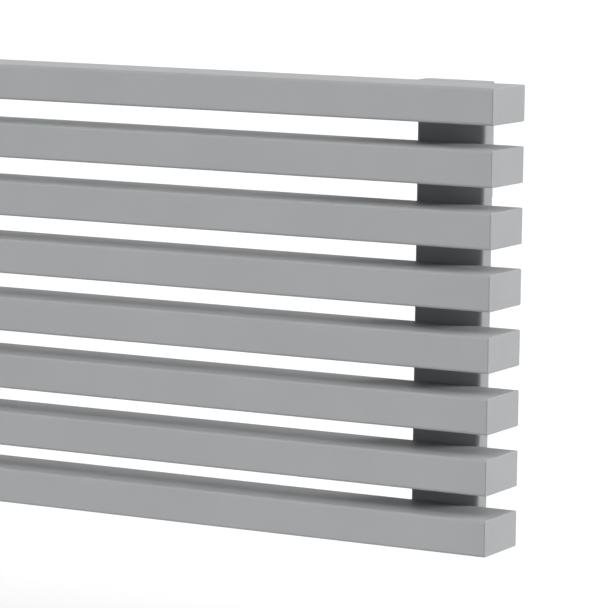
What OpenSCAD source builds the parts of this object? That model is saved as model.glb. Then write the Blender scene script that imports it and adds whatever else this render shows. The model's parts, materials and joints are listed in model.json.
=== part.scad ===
// Wall-hung horizontal bar radiator with two rear headers
// +X runs along the bars, the fronts face -Y, +Z is up
// The origin lies on the wall, at the centre of the wall bracket holes

/* [Bars] */
// Length of the bars over their end plates
radiator_length = 1600; // [600:50:2000]
// Number of bars
bar_count = 8; // [4:1:12]
// Distance from one bar to the next
bar_pitch = 50; // [40:1:80]
// Height of a bar
bar_height = 30; // [20:1:35]
// Depth of a bar from front to back
bar_depth = 60; // [40:1:90]
// Wall of a bar
bar_wall = 1.5; // [1:0.1:3]
// Radius of the long edges of a bar
bar_edge_radius = 2.5; // [0.5:0.1:4]
// Thickness of the plate that closes a bar
end_cap_thickness = 2; // [1.5:0.1:4]
// Radius of the outer edges of an end plate
end_cap_edge_radius = 1; // [0.4:0.1:1.4]

/* [Headers] */
// Width of a header along the bars
header_width = 62; // [46:1:90]
// Depth of a header from front to back
header_depth = 20; // [15:1:40]
// Wall of a header
header_wall = 1.5; // [1:0.1:3]
// Radius of the upright edges of a header
header_edge_radius = 3.7; // [1:0.1:5]
// Thickness of the plate that closes a header
header_cap_thickness = 1.5; // [1:0.1:4]
// Distance from the end of the bars to a header
header_inset = 36; // [10:1:100]
// Distance from the inner side of a header to the fittings behind it
fitting_inset = 20; // [18:1:24]
// Diameter of the water port between a bar and a header
port_diameter = 14; // [8:1:16]

/* [Wall] */
// Distance from the wall to the back of the headers
wall_gap = 45; // [42:1:80]
// Distance from the top of the radiator down to the hanging pins
pin_drop = 60; // [60:1:80]

/* [Sockets] */
// Outer diameter of a socket
socket_diameter = 27; // [24:0.5:28]
// Diameter of the socket bore for a half inch pipe thread
socket_bore = 18.6; // [15:0.1:19]
// Height of a socket
socket_height = 22; // [21:0.5:24]
// Depth of the socket bore
socket_bore_depth = 18; // [17:0.5:19]
// Distance from the back of a header to the axis of a socket
socket_standoff = 14.5; // [14.4:0.1:16]
// Width of the saddle that joins a socket to its header
saddle_width = 22; // [16:0.5:23]
// Diameter of the water port from a header into a socket
socket_port = 8; // [4:0.5:8]
// Distance from the mouth of a socket to the axis of its water port
socket_port_depth = 12.5; // [12.5:0.1:12.8]
// Distance from the top of the radiator down to the upper sockets
upper_socket_drop = 20; // [20:0.5:22]

/* [Air vent and plug] */
// Length of thread in a socket
plug_thread_length = 8; // [6:0.5:8]
// Thickness of a flat washer
washer_thickness = 1.5; // [1:0.1:2]
// Outer diameter of a flat washer
washer_diameter = 25; // [22:0.5:26]
// Size of the vent hexagon across its flats
vent_hex = 24; // [20:0.5:24]
// Height of the vent hexagon
vent_hex_height = 4; // [3:0.1:5]
// Diameter of the neck that the outlet turns on
vent_neck_diameter = 12; // [10:0.5:13]
// Height of the neck under its lip
vent_neck_height = 5.5; // [5.2:0.1:6]
// Diameter of the lip that keeps the outlet on
vent_lip_diameter = 13.6; // [13.4:0.1:16]
// Height of the lip
vent_lip_height = 1; // [0.6:0.1:1.5]
// Diameter of the bleed needle
needle_diameter = 6; // [5:0.1:6]
// Size of the key square on the needle
needle_square = 5; // [4:0.1:6]
// Height of the key square
needle_square_height = 3.7; // [2:0.1:3.7]
// Outer diameter of the outlet ring
outlet_diameter = 18; // [16:0.5:22]
// Distance from the outlet axis to the tip of its nozzle
outlet_reach = 13.8; // [11:0.1:13.8]
// Diameter of the nozzle
nozzle_diameter = 4; // [3:0.1:4.5]
// Bore of the nozzle
nozzle_bore = 1.8; // [1:0.1:2]
// Diameter of the blank plug flange
plug_flange_diameter = 26; // [24:0.5:28]
// Size of the key recess in the plug across its flats
plug_key = 10; // [8:0.5:12]

/* [Hanging] */
// Diameter of a hanging pin
pin_diameter = 8; // [6:0.5:8]
// Distance from the back of a header to a hanging pin
pin_standoff = 15; // [15:0.5:16]
// Gap between the two ears of a hanger
ear_gap = 18; // [12:0.5:18]
// Thickness of a hanger
ear_thickness = 4; // [2:0.1:4]
// Thickness of the back of a hanger
hanger_back = 3; // [2:0.1:3]
// Height of a hanger at the header
ear_base_height = 32; // [28:1:36]
// Height of the nose of an ear
ear_nose_height = 14; // [13:0.5:20]
// Distance from the pin to the end of an ear
ear_nose_reach = 9; // [6:0.5:9]
// Width of the wall plate
plate_width = 40; // [24:1:46]
// Height of the wall plate
plate_height = 84; // [78:1:110]
// Thickness of the wall plate
plate_thickness = 4; // [2:0.1:5]
// Distance between the two wall screw holes
screw_spacing = 60; // [58:1:64]
// Diameter of a wall screw hole
screw_hole = 7; // [5:0.5:9]
// Thickness of the hook
hook_thickness = 6; // [3:0.5:7]
// Height of the hook tip above the pin
hook_tip_height = 10; // [7:0.5:12]
// Thickness of the hook tip
hook_tip_thickness = 5; // [3:0.1:5]
// Thickness of the liner under the pin
liner_thickness = 1.7; // [1:0.1:1.7]
// Thickness of the liner flanges
liner_flange = 1.5; // [1:0.1:1.8]

/* [Wall spacers] */
// Distance from the bottom of the radiator up to a spacer
spacer_rise = 60; // [45:1:70]
// Diameter of a spacer boss
boss_diameter = 16; // [13:0.5:20]
// Length of a spacer boss
boss_length = 20; // [20:0.5:21]
// Diameter of a spacer screw
spacer_screw_diameter = 8; // [6:0.5:10]
// Length of the screw inside its boss
spacer_engagement = 10; // [8:0.5:10]
// Distance that a spacer can be screwed in
spacer_travel = 6; // [4:0.5:6]
// Size of the screw hexagon across its flats
spacer_hex = 17; // [13:1:19]
// Thickness of the screw hexagon
spacer_hex_thickness = 5; // [4:0.1:5]
// Diameter of a spacer pad
pad_diameter = 36; // [26:1:40]
// Thickness of a spacer pad
pad_thickness = 8; // [6:0.5:8]

/* [Hidden] */
$fn = 64;

// Colours
coat_colour = [0.64, 0.645, 0.65];
zinc_colour = [0.72, 0.73, 0.74];
brass_colour = [0.80, 0.66, 0.36];
dark_colour = [0.12, 0.12, 0.13];
pale_colour = [0.90, 0.90, 0.88];

// Steps in a quarter turn of an outline's corner
arc_steps = 6;
// Steps in the half turn of a hook
hook_steps = 24;
// How far a cut runs past the face it opens
overrun = 1;
// Radial clearance of a thread or a pin that stays put
fixed_clearance = 0.05;
// Radial clearance of a piece that turns
running_clearance = 0.05;
// Clearance between seats of pieces that move
seat_gap = 0.3;
// Smallest radius of an inner corner
least_radius = 0.3;

// Height of the radiator and its limits
radiator_height = (bar_count - 1) * bar_pitch + bar_height;
top_z = pin_drop;
bottom_z = top_z - radiator_height;
tube_length = radiator_length - 2 * end_cap_thickness;

// Depth positions, from the wall to the front
header_back_y = -wall_gap;
header_y = header_back_y - header_depth / 2;
bar_back_y = header_back_y - header_depth;
bar_y = bar_back_y - bar_depth / 2;

// Positions along the bars
header_x = radiator_length / 2 - header_inset - header_width / 2;
fitting_x = header_x - header_width / 2 + fitting_inset;

// Sockets
socket_y = header_back_y + socket_standoff;
upper_mouth_z = top_z - upper_socket_drop;
upper_port_z = upper_mouth_z - socket_port_depth;
lower_port_z = bottom_z + socket_port_depth;

// Air vent, measured up from the mouth of its socket
vent_hex_z = washer_thickness;
vent_neck_z = vent_hex_z + vent_hex_height;
vent_lip_z = vent_neck_z + vent_neck_height;
vent_top_z = vent_lip_z + vent_lip_height;
vent_passage = 2.4;
vent_seat_height = 3;
weep_diameter = 1.6;
needle_cone_height = 2.2;
needle_tip_diameter = 2;
needle_groove_height = 1.4;
needle_groove_gap = 0.15;
needle_groove_diameter = 4.2;
needle_bore = needle_diameter + 2 * running_clearance;
needle_seat_z = vent_seat_height - plug_thread_length;
needle_foot_z = needle_seat_z + fixed_clearance;
weep_z = vent_neck_z + vent_neck_height / 2;
needle_groove_z = weep_z + weep_diameter / 2 + needle_groove_gap;
seal_ring = (needle_diameter - needle_groove_diameter) / 4 - fixed_clearance / 4;
seal_ring_radius = (needle_diameter + needle_groove_diameter) / 4 + fixed_clearance / 2;
plug_key_depth = 6;

// Hanging
pin_y = header_back_y + pin_standoff;
pin_proud = 1;
pin_length = ear_gap + 2 * ear_thickness + 2 * pin_proud;
liner_bore_radius = pin_diameter / 2 + seat_gap;
hook_slot_radius = liner_bore_radius + liner_thickness;
hook_front_y = pin_y - hook_slot_radius - hook_tip_thickness;
hook_back_y = pin_y + hook_slot_radius;
hook_belly = 8;
hook_shoulder = 4;
hook_root_top = 20;
hook_root_bottom = -22;
liner_lip = 2.2;
plate_corner_radius = 4;

// Wall spacers
spacer_z = bottom_z + spacer_rise;
boss_floor_gap = 2.5;
boss_mouth_y = header_back_y + boss_length;
boss_bore_depth = spacer_engagement + spacer_travel + boss_floor_gap;
spacer_hex_back_y = -pad_thickness - seat_gap;
spacer_hex_front_y = spacer_hex_back_y - spacer_hex_thickness;
spacer_tip_y = boss_mouth_y - spacer_engagement;
pad_neck_diameter = 6;
pad_socket_depth = 4.5;
pad_rim_thickness = 3;
pad_front_diameter = pad_diameter - 2 * pad_rim_thickness;

SIDES = [-1, 1];

// Height of the middle of a bar, counted from the top
function bar_z(row) = top_z - bar_height / 2 - (row - 1) * bar_pitch;

// Outline of a rectangle with round corners, centred on the origin
function round_rectangle(width, height, radius) = [
    for (corner = [[1, 1, 0], [-1, 1, 90], [-1, -1, 180], [1, -1, 270]])
        for (step = [0:arc_steps])
            let (angle = corner[2] + 90 * step / arc_steps)
            [
                corner[0] * (width / 2 - radius) + radius * cos(angle),
                corner[1] * (height / 2 - radius) + radius * sin(angle)
            ]
];

// Outline of an upward open slot with a round bottom about the origin
function slot_outline(radius, top) = concat(
    [
        for (step = [0:hook_steps])
            let (angle = 180 + 180 * step / hook_steps)
            [radius * cos(angle), radius * sin(angle)]
    ],
    [[radius, top], [-radius, top]]
);

// Extrudes an outline along X, its first axis along Y and its second along Z
module along_x(length) {
    rotate([90, 0, 90])
        linear_extrude(length, center = true)
            children();
}

// Turns a piece built along +Z to run along +Y from a given depth
module along_y(start_y) {
    translate([0, start_y, 0])
        rotate([-90, 0, 0])
            children();
}

// Section of a rectangular tube
module tube_section(width, height, wall, radius) {
    difference() {
        polygon(round_rectangle(width, height, radius));
        polygon(round_rectangle(width - 2 * wall, height - 2 * wall, max(radius - wall, least_radius)));
    }
}

module bar(row) {
    color(coat_colour)
        translate([0, bar_y, bar_z(row)])
            difference() {
                along_x(tube_length)
                    tube_section(bar_depth, bar_height, bar_wall, bar_edge_radius);
                for (side = SIDES)
                    translate([side * header_x, 0, 0])
                        along_y(bar_depth / 2 - bar_wall - overrun)
                            cylinder(d = port_diameter, h = bar_wall + 2 * overrun);
            }
}

// Plate that closes the right end of a bar, with its inner face at the origin
module end_plate() {
    intersection() {
        translate([end_cap_thickness / 2, 0, 0])
            along_x(end_cap_thickness)
                polygon(round_rectangle(bar_depth, bar_height, bar_edge_radius));
        linear_extrude(bar_height, center = true)
            polygon(round_rectangle(2 * end_cap_thickness, bar_depth, end_cap_edge_radius));
        rotate([90, 0, 0])
            linear_extrude(bar_depth, center = true)
                polygon(round_rectangle(2 * end_cap_thickness, bar_height, end_cap_edge_radius));
    }
}

module end_caps(side) {
    color(coat_colour)
        for (row = [1:bar_count])
            translate([side * tube_length / 2, bar_y, bar_z(row)])
                rotate([0, 0, side > 0 ? 0 : 180])
                    end_plate();
}

module header(side) {
    color(coat_colour)
        translate([side * header_x, header_y, 0])
            difference() {
                translate([0, 0, bottom_z + header_cap_thickness])
                    linear_extrude(radiator_height - 2 * header_cap_thickness)
                        tube_section(header_width, header_depth, header_wall, header_edge_radius);
                for (row = [1:bar_count])
                    translate([0, 0, bar_z(row)])
                        along_y(-header_depth / 2 - overrun)
                            cylinder(d = port_diameter, h = header_wall + 2 * overrun);
                for (port_z = [upper_port_z, lower_port_z])
                    translate([side * (fitting_x - header_x), 0, port_z])
                        along_y(header_depth / 2 - header_wall - overrun)
                            cylinder(d = socket_port, h = header_wall + 2 * overrun);
            }
}

module header_caps() {
    color(coat_colour)
        for (side = SIDES, cap_z = [bottom_z, top_z - header_cap_thickness])
            translate([side * header_x, header_y, cap_z])
                linear_extrude(header_cap_thickness)
                    polygon(round_rectangle(header_width, header_depth, header_edge_radius));
}

// Threaded socket with its mouth up at the origin, the header towards -Y
module socket_body() {
    difference() {
        union() {
            translate([0, 0, -socket_height])
                cylinder(d = socket_diameter, h = socket_height);
            translate([-saddle_width / 2, -socket_standoff, -socket_height])
                cube([saddle_width, socket_standoff, socket_height]);
        }
        translate([0, 0, -socket_bore_depth])
            cylinder(d = socket_bore, h = socket_bore_depth + overrun);
        translate([0, 0, -socket_port_depth])
            along_y(-socket_standoff - overrun)
                cylinder(d = socket_port, h = socket_standoff + overrun);
    }
}

module upper_socket(side) {
    color(coat_colour)
        translate([side * fitting_x, socket_y, upper_mouth_z])
            socket_body();
}

module lower_socket(side) {
    color(coat_colour)
        translate([side * fitting_x, socket_y, bottom_z])
            mirror([0, 0, 1])
                socket_body();
}

// Flat washer on the mouth of a socket
module washer() {
    color(dark_colour)
        difference() {
            cylinder(d = washer_diameter, h = washer_thickness);
            translate([0, 0, -overrun])
                cylinder(d = socket_bore, h = washer_thickness + 2 * overrun);
        }
}

// Threaded shank of a vent or a plug, from its lower end up to the flange
module plug_shank() {
    translate([0, 0, -plug_thread_length])
        cylinder(d = socket_bore - 2 * fixed_clearance, h = plug_thread_length + washer_thickness);
}

module at_vent() {
    translate([fitting_x, socket_y, upper_mouth_z])
        children();
}

module at_plug() {
    translate([-fitting_x, socket_y, upper_mouth_z])
        children();
}

module vent_body() {
    color(brass_colour)
        at_vent()
            difference() {
                union() {
                    plug_shank();
                    translate([0, 0, vent_hex_z])
                        cylinder(d = vent_hex / cos(30), h = vent_hex_height, $fn = 6);
                    translate([0, 0, vent_neck_z])
                        cylinder(d = vent_neck_diameter, h = vent_neck_height);
                    translate([0, 0, vent_lip_z])
                        cylinder(d = vent_lip_diameter, h = vent_lip_height);
                }
                translate([0, 0, needle_seat_z])
                    cylinder(d = needle_bore, h = vent_top_z - needle_seat_z + overrun);
                translate([0, 0, -plug_thread_length - overrun])
                    cylinder(d = vent_passage, h = vent_seat_height + 2 * overrun);
                translate([0, 0, weep_z])
                    along_y(0)
                        cylinder(d = weep_diameter, h = vent_neck_diameter / 2 + overrun);
            }
}

module vent_washer() {
    at_vent() washer();
}

module vent_outlet() {
    ring_height = vent_neck_height - 2 * seat_gap;
    color(pale_colour)
        at_vent()
            translate([0, 0, vent_neck_z + seat_gap])
                difference() {
                    union() {
                        cylinder(d = outlet_diameter, h = ring_height);
                        translate([0, 0, ring_height / 2])
                            along_y(0)
                                cylinder(d = nozzle_diameter, h = outlet_reach);
                    }
                    translate([0, 0, -overrun])
                        cylinder(
                            d = vent_neck_diameter + 2 * running_clearance,
                            h = ring_height + 2 * overrun
                        );
                    translate([0, 0, ring_height / 2])
                        along_y(0)
                            cylinder(d = nozzle_bore, h = outlet_reach + overrun);
                }
}

module bleed_needle() {
    color(brass_colour)
        at_vent()
            difference() {
                union() {
                    translate([0, 0, needle_foot_z])
                        cylinder(
                            d1 = needle_tip_diameter,
                            d2 = needle_diameter,
                            h = needle_cone_height
                        );
                    translate([0, 0, needle_foot_z + needle_cone_height])
                        cylinder(
                            d = needle_diameter,
                            h = vent_top_z + seat_gap - needle_foot_z - needle_cone_height
                        );
                    translate([-needle_square / 2, -needle_square / 2, vent_top_z + seat_gap])
                        cube([needle_square, needle_square, needle_square_height]);
                }
                translate([0, 0, needle_groove_z])
                    difference() {
                        cylinder(d = needle_diameter + 2 * overrun, h = needle_groove_height);
                        translate([0, 0, -overrun])
                            cylinder(d = needle_groove_diameter, h = needle_groove_height + 2 * overrun);
                    }
            }
}

module needle_seal() {
    color(dark_colour)
        at_vent()
            translate([0, 0, needle_groove_z + needle_groove_height / 2])
                rotate_extrude()
                    translate([seal_ring_radius, 0])
                        circle(r = seal_ring);
}

module blank_plug() {
    color(brass_colour)
        at_plug()
            difference() {
                union() {
                    plug_shank();
                    translate([0, 0, vent_hex_z])
                        cylinder(d = plug_flange_diameter, h = vent_hex_height);
                }
                translate([0, 0, vent_neck_z - plug_key_depth])
                    cylinder(d = plug_key / cos(30), h = plug_key_depth + overrun, $fn = 6);
            }
}

module plug_washer() {
    at_plug() washer();
}

// Side outline of a hanger ear, in depth and height
module ear_outline() {
    polygon([
        [header_back_y, -ear_base_height / 2],
        [header_back_y + hanger_back, -ear_base_height / 2],
        [pin_y + ear_nose_reach, -ear_nose_height / 2],
        [pin_y + ear_nose_reach, ear_nose_height / 2],
        [header_back_y + hanger_back, ear_base_height / 2],
        [header_back_y, ear_base_height / 2]
    ]);
}

// Welded hanger with two ears
module hanger(side) {
    hanger_width = ear_gap + 2 * ear_thickness;
    color(coat_colour)
        translate([side * fitting_x, 0, 0])
            difference() {
                along_x(hanger_width)
                    ear_outline();
                translate([-ear_gap / 2, header_back_y + hanger_back, -ear_base_height])
                    cube([ear_gap, wall_gap, 2 * ear_base_height]);
                translate([0, pin_y, 0])
                    rotate([0, 90, 0])
                        cylinder(
                            d = pin_diameter + 2 * fixed_clearance,
                            h = hanger_width + 2 * overrun,
                            center = true
                        );
            }
}

module hanger_pin(side) {
    color(zinc_colour)
        translate([side * fitting_x, pin_y, 0])
            rotate([0, 90, 0])
                cylinder(d = pin_diameter, h = pin_length, center = true);
}

// Side outline of the hook, in depth and height
module hook_outline() {
    difference() {
        polygon([
            [-plate_thickness / 2, hook_root_bottom],
            [-plate_thickness, hook_root_bottom],
            [hook_front_y, -hook_slot_radius - hook_belly],
            [hook_front_y, hook_tip_height],
            [hook_back_y + hook_shoulder, hook_tip_height + hook_shoulder],
            [-plate_thickness, hook_root_top],
            [-plate_thickness / 2, hook_root_top]
        ]);
        translate([pin_y, 0])
            polygon(slot_outline(hook_slot_radius, hook_root_top));
    }
}

module wall_bracket(side) {
    color(zinc_colour)
        translate([side * fitting_x, 0, 0])
            union() {
                difference() {
                    along_y(-plate_thickness)
                        linear_extrude(plate_thickness)
                            polygon(round_rectangle(plate_width, plate_height, plate_corner_radius));
                    for (end = SIDES)
                        translate([0, 0, end * screw_spacing / 2])
                            along_y(-plate_thickness - overrun)
                                cylinder(d = screw_hole, h = plate_thickness + 2 * overrun);
                }
                along_x(hook_thickness)
                    hook_outline();
            }
}

// Plastic liner of a hook, with a flange on each side of it
module hook_liner(side) {
    liner_radius = hook_slot_radius - fixed_clearance;
    flange_radius = hook_slot_radius + liner_lip;
    color(pale_colour)
        translate([side * fitting_x, pin_y, 0])
            difference() {
                union() {
                    along_x(hook_thickness + 2 * fixed_clearance)
                        polygon(slot_outline(liner_radius, hook_tip_height));
                    for (end = SIDES)
                        translate([end * (hook_thickness / 2 + liner_flange / 2 + fixed_clearance), 0, 0])
                            along_x(liner_flange)
                                polygon(slot_outline(flange_radius, hook_tip_height));
                }
                along_x(hook_thickness + 2 * liner_flange + 2 * overrun)
                    polygon(slot_outline(liner_bore_radius, hook_tip_height + overrun));
            }
}

module spacer_boss(side) {
    color(coat_colour)
        translate([side * fitting_x, 0, spacer_z])
            difference() {
                along_y(header_back_y)
                    cylinder(d = boss_diameter, h = boss_length);
                along_y(boss_mouth_y - boss_bore_depth)
                    cylinder(
                        d = spacer_screw_diameter + 2 * running_clearance,
                        h = boss_bore_depth + overrun
                    );
            }
}

module spacer_screw(side) {
    neck_end_y = -pad_thickness + pad_socket_depth - seat_gap;
    color(zinc_colour)
        translate([side * fitting_x, 0, spacer_z])
            union() {
                along_y(spacer_tip_y)
                    cylinder(d = spacer_screw_diameter, h = spacer_hex_front_y - spacer_tip_y);
                along_y(spacer_hex_front_y)
                    cylinder(d = spacer_hex / cos(30), h = spacer_hex_thickness, $fn = 6);
                along_y(spacer_hex_back_y)
                    cylinder(d = pad_neck_diameter, h = neck_end_y - spacer_hex_back_y);
            }
}

module spacer_pad(side) {
    color(dark_colour)
        translate([side * fitting_x, 0, spacer_z])
            difference() {
                union() {
                    along_y(-pad_thickness)
                        cylinder(
                            d1 = pad_front_diameter,
                            d2 = pad_diameter,
                            h = pad_thickness - pad_rim_thickness
                        );
                    along_y(-pad_rim_thickness)
                        cylinder(d = pad_diameter, h = pad_rim_thickness);
                }
                along_y(-pad_thickness - overrun)
                    cylinder(
                        d = pad_neck_diameter + 2 * running_clearance,
                        h = pad_socket_depth + overrun
                    );
            }
}

for (row = [1:bar_count]) bar(row);
end_caps(-1);  // end_caps_left
end_caps(1);  // end_caps_right
header(-1);  // header_left
header(1);  // header_right
header_caps();
lower_socket(-1);  // flow_socket
lower_socket(1);  // return_socket
upper_socket(1);  // vent_socket
upper_socket(-1);  // plug_socket
vent_body();
vent_washer();
vent_outlet();
bleed_needle();
needle_seal();
blank_plug();
plug_washer();
hanger(-1);  // hanger_left
hanger(1);  // hanger_right
hanger_pin(-1);  // hanger_pin_left
hanger_pin(1);  // hanger_pin_right
wall_bracket(-1);  // wall_bracket_left
wall_bracket(1);  // wall_bracket_right
hook_liner(-1);  // hook_liner_left
hook_liner(1);  // hook_liner_right
spacer_boss(-1);  // spacer_boss_left
spacer_boss(1);  // spacer_boss_right
spacer_screw(-1);  // spacer_screw_left
spacer_screw(1);  // spacer_screw_right
spacer_pad(-1);  // spacer_pad_left
spacer_pad(1);  // spacer_pad_right
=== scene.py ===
import json
import math

import bmesh
import bpy
from mathutils import Matrix, Vector


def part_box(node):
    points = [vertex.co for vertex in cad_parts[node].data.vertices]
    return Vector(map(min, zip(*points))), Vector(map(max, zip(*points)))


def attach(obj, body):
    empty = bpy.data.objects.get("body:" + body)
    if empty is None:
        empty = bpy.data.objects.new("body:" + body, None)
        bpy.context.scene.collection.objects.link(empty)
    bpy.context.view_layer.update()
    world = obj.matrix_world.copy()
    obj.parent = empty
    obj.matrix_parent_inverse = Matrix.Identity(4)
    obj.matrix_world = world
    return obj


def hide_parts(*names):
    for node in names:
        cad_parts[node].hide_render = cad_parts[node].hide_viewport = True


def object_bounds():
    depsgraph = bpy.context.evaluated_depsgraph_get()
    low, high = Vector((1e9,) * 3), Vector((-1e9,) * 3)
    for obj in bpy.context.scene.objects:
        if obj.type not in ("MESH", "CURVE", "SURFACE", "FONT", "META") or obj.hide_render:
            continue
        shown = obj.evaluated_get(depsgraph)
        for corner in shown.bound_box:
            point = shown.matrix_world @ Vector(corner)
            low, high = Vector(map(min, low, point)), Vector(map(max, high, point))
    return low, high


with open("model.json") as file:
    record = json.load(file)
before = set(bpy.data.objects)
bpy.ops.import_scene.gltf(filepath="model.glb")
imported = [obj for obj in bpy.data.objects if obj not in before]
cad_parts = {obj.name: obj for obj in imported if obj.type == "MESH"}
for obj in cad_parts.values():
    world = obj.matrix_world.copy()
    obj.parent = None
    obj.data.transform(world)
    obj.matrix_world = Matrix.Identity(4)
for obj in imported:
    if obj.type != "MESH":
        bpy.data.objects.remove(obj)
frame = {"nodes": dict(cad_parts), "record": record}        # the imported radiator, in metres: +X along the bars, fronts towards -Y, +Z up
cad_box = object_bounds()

MM = 0.001
RECORD = frame["record"]
SLOT_OF = {row["node"]: row["material_slot"] for row in RECORD["subparts"]}
BODY_OF = {node: body for body, members in RECORD["behaviour"]["bodies"].items() for node in members}
SIDES = ("left", "right")

# Camera, at the photograph's viewing angle
CAMERA_PLACE = (2.0643, -2.7719, 0.2634)
CAMERA_TURN = math.radians(28.431)
CAMERA_TILT = math.radians(-7.354)
CAMERA_ROLL = math.radians(0.737)
CAMERA_LENS = 218.27
CAMERA_SENSOR = 36.0

# Studio: a dim dome with soft boxes, a key above the front, a rim at the right rear and a left fill.
# Each is its turn to the right of the front and its rise in degrees, its sharpness and its strength.
DOME_BASE = 0.21
DOME_SEEN = 1.0
SOFT_BOXES = (
    (0, 45, 14, 6.0),
    (135, 20, 25, 14.9),
    (-90, 0, 3, 0.5),
)
FLOOR_DROP = 250 * MM
FLOOR_REACH = 40.0
FLOOR_WHITE = 0.65
FLOOR_GLOW = 0.34

# The middle of a noise, which the finishes stretch over their ranges
NOISE_LOW = 0.3
NOISE_HIGH = 0.7

# Meshes
MERGE = 1e-6
FLAT_ANGLE = math.radians(0.5)
SHARP_ANGLE = math.radians(30)
THREAD_STEPS = 48
THREAD_ROWS = 10
HEXAGON_STEPS = 72
CORNER_STEPS = 6

# A thread's root and crest, each as a share of a half turn, and the rising flank between them
THREAD_ROOT_SHARE = 0.15
THREAD_FLANK_SHARE = 0.7

# Weld beads: ripples along them and flats across them
RIPPLE_PITCH = 1.7 * MM
RIPPLE_STEPS = 5
RIPPLE_LAG = 0.45
RIPPLE_SHARE = 0.055
BEAD_ARC = 6
BEAD_FLAT_SHARE = 0.55
BEAD_SUNK = 0.8 * MM
BEAD_END_SHARE = 0.35
BEAD_TAPER_LEGS = 1.5


class Finish:
    """A procedural material under construction."""

    def __init__(self, name):
        self.material = bpy.data.materials.new(name)
        self.material.use_nodes = True
        self.tree = self.material.node_tree
        self.shader = self.tree.nodes["Principled BSDF"]
        self.place = self.node("ShaderNodeTexCoord").outputs["Object"]

    def node(self, kind, **settings):
        made = self.tree.nodes.new(kind)
        for key, value in settings.items():
            setattr(made, key, value)
        return made

    def feed(self, node, **values):
        """Sets a node's inputs, each to a number or to another node's output."""
        for key, value in values.items():
            socket = node.inputs[int(key[1:])]
            if isinstance(value, bpy.types.NodeSocket):
                self.tree.links.new(value, socket)
            else:
                socket.default_value = value
        return node.outputs[0]

    def noise(self, scale, detail):
        """Noise over the object, from its scale per metre and its octaves."""
        made = self.node("ShaderNodeTexNoise")
        self.tree.links.new(self.place, made.inputs["Vector"])
        made.inputs["Scale"].default_value = scale
        made.inputs["Detail"].default_value = detail
        return made.outputs["Fac"]

    def math(self, operation, a, b=0.0):
        return self.feed(self.node("ShaderNodeMath", operation=operation), _0=a, _1=b)

    def ramp(self, amount, zero, one):
        """Goes from 0 to 1 as the amount goes from zero to one, and stays there."""
        return self.feed(self.node("ShaderNodeMapRange"), _0=amount, _1=zero, _2=one)

    def spread(self, amount, low, high):
        """Stretches the middle of a noise to run from low to high."""
        made = self.node("ShaderNodeMapRange")
        return self.feed(made, _0=amount, _1=NOISE_LOW, _2=NOISE_HIGH, _3=low, _4=high)

    def tint(self, amount, first, second):
        """Mixes two colours by a noise."""
        made = self.node("ShaderNodeMix", data_type="RGBA")
        self.tree.links.new(self.spread(amount, 0.0, 1.0), made.inputs["Factor"])
        made.inputs[6].default_value = (*first, 1.0)
        made.inputs[7].default_value = (*second, 1.0)
        return made.outputs[2]

    def painted_corner_shade(self):
        """1 on the rounded upright edges of the end plates, where a painted shade line darkens the coat,
        and 0 elsewhere.
        """
        end = cad_box[1].x
        inner_fade = (0.95 * MM, 0.75 * MM)
        outer_fade = (0.05 * MM, 0.15 * MM)
        lean_fade = (0.5, 0.2)
        parts = self.node("ShaderNodeSeparateXYZ")
        self.tree.links.new(self.place, parts.inputs[0])
        reach = self.math("ABSOLUTE", parts.outputs[0])
        starts = self.ramp(reach, end - inner_fade[0], end - inner_fade[1])
        stops = self.ramp(reach, end - outer_fade[0], end - outer_fade[1])
        facing = self.node("ShaderNodeSeparateXYZ")
        self.tree.links.new(self.node("ShaderNodeTexCoord").outputs["Normal"], facing.inputs[0])
        upright = self.ramp(self.math("ABSOLUTE", facing.outputs[2]), *lean_fade)
        return self.math("MULTIPLY", self.math("MULTIPLY", starts, stops), upright)

    def darken(self, colour, where, share):
        """Multiplies a colour by share where the mask is 1."""
        made = self.node("ShaderNodeMix", data_type="RGBA", blend_type="MULTIPLY")
        self.tree.links.new(where, made.inputs["Factor"])
        self.tree.links.new(colour, made.inputs[6])
        made.inputs[7].default_value = (share, share, share, 1.0)
        return made.outputs[2]

    def bump(self, height, depth, before=None):
        """Raises the surface by up to depth, on top of an earlier bump if there is one."""
        made = self.node("ShaderNodeBump")
        made.inputs["Strength"].default_value = 1.0
        made.inputs["Distance"].default_value = depth
        self.tree.links.new(height, made.inputs["Height"])
        if before is not None:
            self.tree.links.new(before, made.inputs["Normal"])
        return made.outputs["Normal"]

    def wear(self, colour, roughness, normal, **plain):
        """Links the varying inputs of the shader and sets the plain ones on its own sockets."""
        self.tree.links.new(colour, self.shader.inputs["Base Color"])
        self.tree.links.new(roughness, self.shader.inputs["Roughness"])
        self.tree.links.new(normal, self.shader.inputs["Normal"])
        for key, value in plain.items():
            self.shader.inputs[key.replace("_", " ")].default_value = value
        return self.material


def powder_coat():
    # Painted shade: a thin darker line on the end plates' rounded upright edges stands in for the shade and
    # dark reflection at that corner.
    corner_shade_share = 0.83
    made = Finish("satin_powder_coat")
    colour = made.tint(made.noise(14, 3), (0.338, 0.346, 0.354), (0.352, 0.360, 0.368))
    colour = made.darken(colour, made.painted_corner_shade(), corner_shade_share)
    roughness = made.spread(made.noise(60, 2), 0.50, 0.56)
    peel = made.bump(made.noise(620, 2), 0.020 * MM)
    grain = made.bump(made.noise(3600, 1), 0.003 * MM, peel)
    return made.wear(colour, roughness, grain, Metallic=0.0, Specular_IOR_Level=0.09)


def zinc_plate():
    made = Finish("bright_zinc_plate")
    colour = made.tint(made.noise(45, 4), (0.56, 0.575, 0.60), (0.66, 0.665, 0.67))
    roughness = made.spread(made.noise(130, 3), 0.30, 0.44)
    rolled = made.bump(made.noise(900, 3), 0.006 * MM)
    return made.wear(colour, roughness, rolled, Metallic=1.0)


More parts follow.
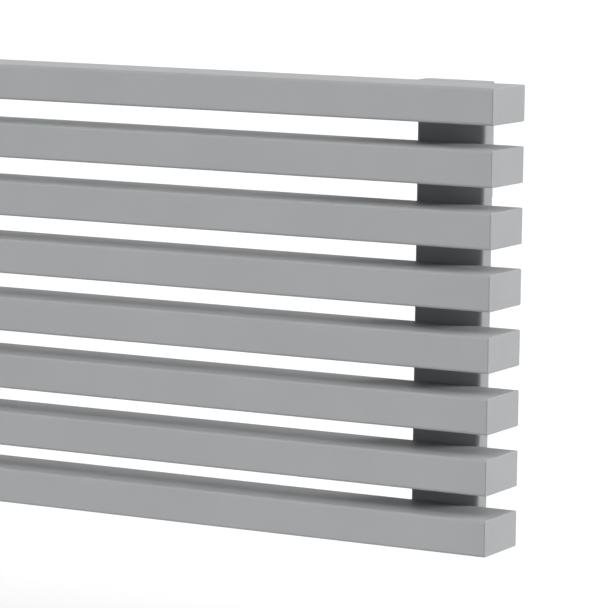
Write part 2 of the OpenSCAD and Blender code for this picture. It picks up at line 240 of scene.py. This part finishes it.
def turned_brass():
    ring_pitch = 0.22 * MM
    made = Finish("turned_brass")
    colour = made.tint(made.noise(90, 3), (0.66, 0.49, 0.22), (0.76, 0.58, 0.28))
    roughness = made.spread(made.noise(240, 2), 0.24, 0.36)
    axis = fitting_place("vent_body")
    parts = made.node("ShaderNodeSeparateXYZ")
    made.tree.links.new(made.place, parts.inputs[0])
    across = made.math("SUBTRACT", made.math("ABSOLUTE", parts.outputs[0]), axis.x)
    deep = made.math("SUBTRACT", parts.outputs[1], axis.y)
    square = made.math("ADD", made.math("MULTIPLY", across, across), made.math("MULTIPLY", deep, deep))
    rings = made.math("SINE", made.math("MULTIPLY", made.math("SQRT", square), 2 * math.pi / ring_pitch))
    lathe = made.bump(rings, 0.004 * MM)
    grain = made.bump(made.noise(2500, 1), 0.004 * MM, lathe)
    return made.wear(colour, roughness, grain, Metallic=1.0)


def black_rubber():
    made = Finish("black_rubber")
    colour = made.tint(made.noise(150, 3), (0.020, 0.020, 0.021), (0.034, 0.034, 0.035))
    roughness = made.spread(made.noise(400, 2), 0.58, 0.72)
    grain = made.bump(made.noise(1800, 2), 0.012 * MM)
    return made.wear(colour, roughness, grain, Metallic=0.0, Specular_IOR_Level=0.4)


def moulded_plastic(name, first, second, rough, depth):
    rough_spread = 0.04
    made = Finish(name)
    colour = made.tint(made.noise(70, 3), first, second)
    roughness = made.spread(made.noise(200, 2), rough - rough_spread, rough + rough_spread)
    texture = made.bump(made.noise(1500, 2), depth)
    return made.wear(colour, roughness, texture, Metallic=0.0)


def fitting_place(node):
    """Middle of a CAD node's box."""
    low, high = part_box(node)
    return (low + high) / 2


FINISH = {
    "coated_steel": powder_coat(),
    "zinc_steel": zinc_plate(),
    "brass": turned_brass(),
    "rubber": black_rubber(),
    "dark_plastic": moulded_plastic(
        "black_moulding", (0.030, 0.030, 0.032), (0.044, 0.044, 0.047), 0.46, 0.012 * MM),
    "pale_plastic": moulded_plastic(
        "white_moulding", (0.70, 0.70, 0.68), (0.76, 0.76, 0.74), 0.36, 0.006 * MM),
}


def cad_mesh(node):
    """The CAD node's own shape, with its triangles joined into whole faces."""
    mesh = bmesh.new()
    mesh.from_mesh(frame["nodes"][node].data)
    bmesh.ops.remove_doubles(mesh, verts=mesh.verts, dist=MERGE)
    bmesh.ops.dissolve_limit(mesh, angle_limit=FLAT_ANGLE, verts=mesh.verts, edges=mesh.edges)
    return mesh


def soften(mesh, width, segments=2, chosen=None):
    """Rounds the sharp edges of a mesh, all of them or those that chosen picks."""
    edges = [
        edge for edge in mesh.edges
        if edge.is_manifold and edge.calc_face_angle(0.0) > SHARP_ANGLE and (chosen is None or chosen(edge))
    ]
    bmesh.ops.bevel(
        mesh, geom=edges, offset=width, offset_type="OFFSET", segments=segments,
        profile=0.5, affect="EDGES", clamp_overlap=True)


def piece(name, mesh, slot, body, *nodes):
    """Turns a mesh into a piece of the object that rides on a body and stands for CAD nodes."""
    bmesh.ops.recalc_face_normals(mesh, faces=mesh.faces)
    for face in mesh.faces:
        face.smooth = True
    for edge in mesh.edges:
        edge.smooth = edge.calc_face_angle(0.0) < SHARP_ANGLE
    data = bpy.data.meshes.new(name)
    mesh.to_mesh(data)
    mesh.free()
    if "custom_normal" in data.attributes:
        data.attributes.remove(data.attributes["custom_normal"])
    data.materials.clear()
    data.materials.append(FINISH[slot])
    made = bpy.data.objects.new(name, data)
    bpy.context.scene.collection.objects.link(made)
    normals = made.modifiers.new("even_normals", "WEIGHTED_NORMAL")
    normals.keep_sharp = True
    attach(made, body)
    if nodes:
        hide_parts(*nodes)


def node_piece(node, mesh):
    """Turns a mesh into the piece that stands for one CAD node."""
    piece(node + "_finished", mesh, SLOT_OF[node], BODY_OF[node], node)


def dressed(node, width=0.0, segments=2, chosen=None):
    """A CAD node with its edges rounded."""
    mesh = cad_mesh(node)
    if width:
        soften(mesh, width, segments, chosen)
    node_piece(node, mesh)


def loft(mesh, rings, loop=False):
    """Skins a row of rings of points, closed at both ends or joined into a loop."""
    rows = [[mesh.verts.new(point) for point in ring] for ring in rings]
    count = len(rows[0])
    pairs = list(zip(rows, rows[1:]))
    if loop:
        pairs.append((rows[-1], rows[0]))
    for first, second in pairs:
        for i in range(count):
            j = (i + 1) % count
            mesh.faces.new((first[i], first[j], second[j], second[i]))
    if not loop:
        mesh.faces.new(rows[0][::-1])
        mesh.faces.new(rows[-1])


def ring_points(radius, height, pose, steps=THREAD_STEPS):
    """Points round the Z axis of pose. Radius and height are lengths or functions of the angle."""
    found = []
    for step in range(steps):
        angle = 2 * math.pi * step / steps
        reach = radius(angle) if callable(radius) else radius
        rise = height(angle) if callable(height) else height
        found.append(pose @ Vector((reach * math.cos(angle), reach * math.sin(angle), rise)))
    return found


def thread_share(angle, height, pitch):
    """How far out a right-handed thread stands at a place, from 0 at its root to 1 at its crest."""
    turn = (height / pitch - angle / (2 * math.pi)) % 1.0
    ramp = abs(2 * turn - 1)
    return min(1.0, max(0.0, (ramp - THREAD_ROOT_SHARE) / THREAD_FLANK_SHARE))


def add_threaded_rod(mesh, pose, start, stop, root, crest, pitch):
    """Adds a rod with a thread and chamfered ends, along the Z axis of pose."""
    end_drop = 0.2 * MM
    rows = round((stop - start) / pitch * THREAD_ROWS)
    rings = []
    for row in range(rows + 1):
        height = start + (stop - start) * row / rows
        limit = root - end_drop + min(height - start, stop - height)

        def reach(angle, height=height, limit=limit):
            return min(limit, root + (crest - root) * thread_share(angle, height, pitch))

        rings.append(ring_points(reach, height, pose))
    loft(mesh, rings)


def add_hexagon(mesh, pose, start, stop, flats):
    """Adds a hexagon with turned chamfers on both faces, along the Z axis of pose."""
    flat_face = 0.475 * flats
    slope = math.tan(math.radians(30))

    def outline(angle):
        return flats / 2 / math.cos((angle + math.pi / 6) % (math.pi / 3) - math.pi / 6)

    def lower(angle):
        return start + slope * (outline(angle) - flat_face)

    def upper(angle):
        return stop - slope * (outline(angle) - flat_face)

    rings = [
        ring_points(flat_face, start, pose, HEXAGON_STEPS),
        ring_points(outline, lower, pose, HEXAGON_STEPS),
        ring_points(outline, upper, pose, HEXAGON_STEPS),
        ring_points(flat_face, stop, pose, HEXAGON_STEPS),
    ]
    loft(mesh, rings)


def add_threaded_bore(mesh, pose, start, stop, root, crest, pitch):
    """Adds the thread inside a bore as a thin lining, along the Z axis of pose."""
    lining = 0.1 * MM
    mouth_share = 0.9
    rows = round((stop - start) / pitch * THREAD_ROWS)
    inner = []
    for row in range(rows + 1):
        height = start + (stop - start) * row / rows
        limit = crest + mouth_share * (root - crest) - min(height - start, stop - height)

        def reach(angle, height=height, limit=limit):
            return max(limit, root - (root - crest) * thread_share(angle, height, pitch))

        inner.append(ring_points(reach, height, pose))
    outer = [ring_points(root + lining, stop, pose), ring_points(root + lining, start, pose)]
    loft(mesh, inner + outer, loop=True)


def rounded_path(corners, radius, step, closed):
    """Places along a line with rounded corners in a plane, each with its direction and its distance."""
    count = len(corners)
    points = []
    for i in range(count):
        corner = Vector(corners[i])
        before = Vector(corners[i - 1]) if closed or i else None
        after = Vector(corners[(i + 1) % count]) if closed or i < count - 1 else None
        if before is None or after is None:
            points.append(corner)
            continue
        enter = corner + (before - corner).normalized() * radius
        leave = corner + (after - corner).normalized() * radius
        for part in range(CORNER_STEPS + 1):
            share = part / CORNER_STEPS
            points.append((1 - share) ** 2 * enter + 2 * share * (1 - share) * corner + share ** 2 * leave)
    ring = points + points[:1] if closed else points
    lengths = [(b - a).length for a, b in zip(ring, ring[1:])]
    total = sum(lengths)
    number = round(total / step)
    places = []
    for i in range(number if closed else number + 1):
        left = total * i / number
        k = 0
        while k < len(lengths) - 1 and left > lengths[k]:
            left -= lengths[k]
            k += 1
        here = ring[k].lerp(ring[k + 1], min(1.0, left / lengths[k]))
        places.append((here, (ring[k + 1] - ring[k]).normalized(), total * i / number))
    return places, total


def add_weld(mesh, corners, radius, plane_y, leg, closed=False):
    """Adds a fillet weld along a line in a plane that faces +Y, with the piece on the line's right."""
    rings = []
    places, total = rounded_path(corners, radius, RIPPLE_PITCH / RIPPLE_STEPS, closed)
    for here, along, done in places:
        outward = Vector((-along.y, along.x))
        taper = 1.0
        if not closed:
            taper = min(1.0, BEAD_END_SHARE + min(done, total - done) / (BEAD_TAPER_LEGS * leg))
        ring = []
        for part in range(BEAD_ARC + 1):
            share = part / BEAD_ARC
            angle = share * math.pi / 2
            bow = 4 * share * (1 - share)
            wave = math.cos(2 * math.pi * (done / RIPPLE_PITCH - RIPPLE_LAG * bow))
            reach = leg * taper * (1 + RIPPLE_SHARE * wave * bow)
            out = BEAD_FLAT_SHARE * (1 - share) + (1 - BEAD_FLAT_SHARE) * math.cos(angle)
            up = BEAD_FLAT_SHARE * share + (1 - BEAD_FLAT_SHARE) * math.sin(angle)
            ring.append((out * reach, up * reach))
        ring.append((-BEAD_SUNK, ring[-1][1]))
        ring.append((-BEAD_SUNK, -BEAD_SUNK))
        ring.append((ring[0][0], -BEAD_SUNK))
        rings.append([
            Vector((here.x + outward.x * out, plane_y + up, here.y + outward.y * out)) for out, up in ring
        ])
    loft(mesh, rings, loop=closed)


def dress_bars():
    """Tubes and end plates keep the CAD's own rounding: their welded seams are ground flush."""
    bars = [node for node in frame["nodes"] if node.startswith("bar_")]
    for node in bars + ["end_caps_left", "end_caps_right", "header_left", "header_right"]:
        dressed(node)
    top, bottom = cad_box[1].z, cad_box[0].z
    near = 0.2 * MM
    cap_edge = 0.5 * MM

    def outer_edge(edge):
        middle = (edge.verts[0].co.z + edge.verts[1].co.z) / 2
        return min(abs(middle - top), abs(middle - bottom)) < near

    dressed("header_caps", cap_edge, 3, outer_edge)


def dress_welds():
    """Fillet welds at the headers: along each bar, and round each fitting behind."""
    bar_weld = 2.0 * MM
    bar_weld_inset = 2.5 * MM
    bar_weld_margin = 4.0 * MM
    fitting_weld = 3.0 * MM
    saddle_half = 11 * MM
    hanger_weld = 2.5 * MM
    corner = 1.5 * MM
    boss_corner = 0.8 * MM
    boss_step = 15
    sockets = {"left": ("flow_socket", "plug_socket"), "right": ("return_socket", "vent_socket")}
    bars = [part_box(node) for node in frame["nodes"] if node.startswith("bar_")]
    for side in SIDES:
        mesh = bmesh.new()
        header_low, header_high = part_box("header_" + side)
        for low, high in bars:
            bottom, top = low.z + bar_weld_margin, high.z - bar_weld_margin
            left, right = header_low.x + bar_weld_inset, header_high.x - bar_weld_inset
            add_weld(mesh, [(left, bottom), (left, top)], corner, high.y, bar_weld)
            add_weld(mesh, [(right, top), (right, bottom)], corner, high.y, bar_weld)
        back = header_high.y
        for node in sockets[side]:
            low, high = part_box(node)
            middle = (low.x + high.x) / 2
            if high.z > 0:
                mouth, foot = high.z - fitting_weld, low.z
                start, end = middle + saddle_half, middle - saddle_half
            else:
                mouth, foot = low.z + fitting_weld, high.z
                start, end = middle - saddle_half, middle + saddle_half
            line = [(start, mouth), (start, foot), (end, foot), (end, mouth)]
            add_weld(mesh, line, corner, back, fitting_weld)
        low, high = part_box("hanger_" + side)
        add_weld(mesh, [(low.x, low.z + corner), (low.x, high.z - corner)], corner, back, hanger_weld)
        add_weld(mesh, [(high.x, high.z - corner), (high.x, low.z + corner)], corner, back, hanger_weld)
        low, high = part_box("spacer_boss_" + side)
        middle, radius = (low + high) / 2, (high.x - low.x) / 2
        turns = [math.radians(-angle) for angle in range(0, 360, boss_step)]
        circle = [(middle.x + radius * math.cos(a), middle.z + radius * math.sin(a)) for a in turns]
        add_weld(mesh, circle, boss_corner, back, hanger_weld, closed=True)
        piece("welds_" + side, mesh, "coated_steel", "radiator")


def dress_sockets():
    """Sockets with chamfered mouths. The two open ones show their pipe thread."""
    bore = 9.3 * MM
    near = 0.02 * MM
    edge = 0.5 * MM
    thread_root = 10.4 * MM
    thread_pitch = 1.814 * MM
    thread_depth = 17 * MM
    mouth_gap = 0.6 * MM
    for node in ("vent_socket", "plug_socket"):
        dressed(node, edge)
    for node in ("flow_socket", "return_socket"):
        low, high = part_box(node)
        centre_x = (low.x + high.x) / 2
        centre_y = fitting_place("vent_body").y
        mesh = cad_mesh(node)
        for vert in mesh.verts:
            away = Vector((vert.co.x - centre_x, vert.co.y - centre_y))
            if abs(away.length - bore) < near:
                away *= thread_root / away.length
                vert.co.x, vert.co.y = centre_x + away.x, centre_y + away.y
        soften(mesh, edge)
        pose = Matrix.Translation((centre_x, centre_y, low.z))
        add_threaded_bore(mesh, pose, mouth_gap, thread_depth, thread_root, bore, thread_pitch)
        node_piece(node, mesh)


def dress_hanging():
    hanger_edge = 0.6 * MM
    pin_edge = 0.7 * MM
    bracket_edge = 0.5 * MM
    liner_edge = 0.25 * MM
    for side in SIDES:
        dressed("hanger_" + side, hanger_edge)
        dressed("hanger_pin_" + side, pin_edge, 3)
        dressed("wall_bracket_" + side, bracket_edge)
        dressed("hook_liner_" + side, liner_edge)


def dress_spacers():
    """Bosses, moulded pads, and screws with their thread and a chamfered hexagon."""
    boss_edge = 0.6 * MM
    pad_edge = 0.7 * MM
    crest = 4.0 * MM
    root = 3.35 * MM
    pitch = 1.25 * MM
    hexagon = 17 * MM
    hexagon_thickness = 5 * MM
    thread_overlap = 0.5 * MM
    neck_radius = 3 * MM
    neck_length = 4.5 * MM
    neck_edge = 0.3 * MM
    along_y = Matrix.Rotation(-math.pi / 2, 4, "X")
    for side in SIDES:
        dressed("spacer_boss_" + side, boss_edge)
        dressed("spacer_pad_" + side, pad_edge, 3)
        node = "spacer_screw_" + side
        low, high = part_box(node)
        middle = (low + high) / 2
        pose = Matrix.Translation((middle.x, 0, middle.z)) @ along_y
        hexagon_back = high.y - neck_length
        hexagon_front = hexagon_back - hexagon_thickness
        mesh = bmesh.new()
        add_threaded_rod(mesh, pose, low.y, hexagon_front + thread_overlap, root, crest, pitch)
        add_hexagon(mesh, pose, hexagon_front, hexagon_back, hexagon)
        ends = (hexagon_back - neck_edge, high.y - neck_edge)
        rings = [ring_points(neck_radius, height, pose) for height in ends]
        rings.append(ring_points(neck_radius - neck_edge, high.y, pose))
        loft(mesh, rings)
        node_piece(node, mesh)


def dress_vent():
    """The air vent's pieces, and the plug at the other end, each with the width of its edges."""
    edges = (
        ("vent_body", 0.3),
        ("bleed_needle", 0.25),
        ("blank_plug", 0.4),
        ("vent_outlet", 0.3),
        ("vent_washer", 0.2),
        ("plug_washer", 0.2),
        ("needle_seal", 0.0),
    )
    for node, width in edges:
        dressed(node, width * MM)


def light_path_share(tree):
    """1 for rays that show the background itself, to the eye or in a reflection, and 0 for the rest."""
    path = tree.nodes.new("ShaderNodeLightPath")
    share = path.outputs["Is Camera Ray"]
    for name in ("Is Glossy Ray", "Is Transmission Ray"):
        either = tree.nodes.new("ShaderNodeMath")
        either.operation = "MAXIMUM"
        tree.links.new(share, either.inputs[0])
        tree.links.new(path.outputs[name], either.inputs[1])
        share = either.outputs[0]
    return share


def make_dome():
    """Light from the dome and its soft boxes, and plain white wherever the dome itself is seen."""
    world = bpy.data.worlds.new("studio")
    world.use_nodes = True
    bpy.context.scene.world = world
    tree = world.node_tree
    background = tree.nodes["Background"]
    direction = tree.nodes.new("ShaderNodeTexCoord").outputs["Generated"]

    def step(kind, operation, first, second):
        made = tree.nodes.new(kind)
        made.operation = operation
        for socket, value in zip(made.inputs, (first, second)):
            if isinstance(value, bpy.types.NodeSocket):
                tree.links.new(value, socket)
            else:
                socket.default_value = value
        return made

    light = DOME_BASE
    for turn, rise, sharpness, strength in SOFT_BOXES:
        turn, rise = math.radians(turn), math.radians(rise)
        aim = (math.sin(turn) * math.cos(rise), -math.cos(turn) * math.cos(rise), math.sin(rise))
        facing = step("ShaderNodeVectorMath", "DOT_PRODUCT", direction, aim).outputs["Value"]
        facing = step("ShaderNodeMath", "MAXIMUM", facing, 0.0).outputs[0]
        facing = step("ShaderNodeMath", "POWER", facing, sharpness).outputs[0]
        lobe = step("ShaderNodeMath", "MULTIPLY", facing, strength).outputs[0]
        light = step("ShaderNodeMath", "ADD", lobe, light).outputs[0]
    choice = tree.nodes.new("ShaderNodeMix")
    tree.links.new(light_path_share(tree), choice.inputs["Factor"])
    tree.links.new(light, choice.inputs[2])
    choice.inputs[3].default_value = DOME_SEEN
    tree.links.new(choice.outputs[0], background.inputs["Strength"])
    background.inputs["Color"].default_value = (1, 1, 1, 1)


def make_floor():
    """White floor that keeps the soft shadow of the radiator."""
    height = cad_box[0].z - FLOOR_DROP
    mesh = bmesh.new()
    corners = [(-1, -1), (1, -1), (1, 1), (-1, 1)]
    mesh.faces.new([mesh.verts.new((x * FLOOR_REACH, y * FLOOR_REACH, height)) for x, y in corners])
    data = bpy.data.meshes.new("floor")
    mesh.to_mesh(data)
    mesh.free()
    floor = bpy.data.objects.new("floor", data)
    bpy.context.scene.collection.objects.link(floor)
    material = bpy.data.materials.new("white_floor")
    material.use_nodes = True
    tree = material.node_tree
    tree.nodes.remove(tree.nodes["Principled BSDF"])
    paint = tree.nodes.new("ShaderNodeBsdfDiffuse")
    paint.inputs["Color"].default_value = (FLOOR_WHITE, FLOOR_WHITE, FLOOR_WHITE, 1)
    glow = tree.nodes.new("ShaderNodeEmission")
    strength = tree.nodes.new("ShaderNodeMath")
    strength.operation = "MULTIPLY"
    tree.links.new(light_path_share(tree), strength.inputs[0])
    strength.inputs[1].default_value = FLOOR_GLOW
    tree.links.new(strength.outputs[0], glow.inputs["Strength"])
    both = tree.nodes.new("ShaderNodeAddShader")
    tree.links.new(paint.outputs[0], both.inputs[0])
    tree.links.new(glow.outputs[0], both.inputs[1])
    tree.links.new(both.outputs[0], tree.nodes["Material Output"].inputs["Surface"])
    data.materials.append(material)


def make_camera():
    data = bpy.data.cameras.new("camera")
    data.lens = CAMERA_LENS
    data.sensor_width = CAMERA_SENSOR
    camera = bpy.data.objects.new("camera", data)
    bpy.context.scene.collection.objects.link(camera)
    camera.matrix_world = (
        Matrix.Translation(CAMERA_PLACE)
        @ Matrix.Rotation(CAMERA_TURN, 4, "Z")
        @ Matrix.Rotation(math.pi / 2 + CAMERA_TILT, 4, "X")
        @ Matrix.Rotation(CAMERA_ROLL, 4, "Z")
    )
    bpy.context.scene.camera = camera


make_camera()
dress_bars()
dress_welds()
dress_sockets()
dress_hanging()
dress_spacers()
dress_vent()
make_dome()
make_floor()
bpy.context.scene.view_settings.view_transform = "Standard"
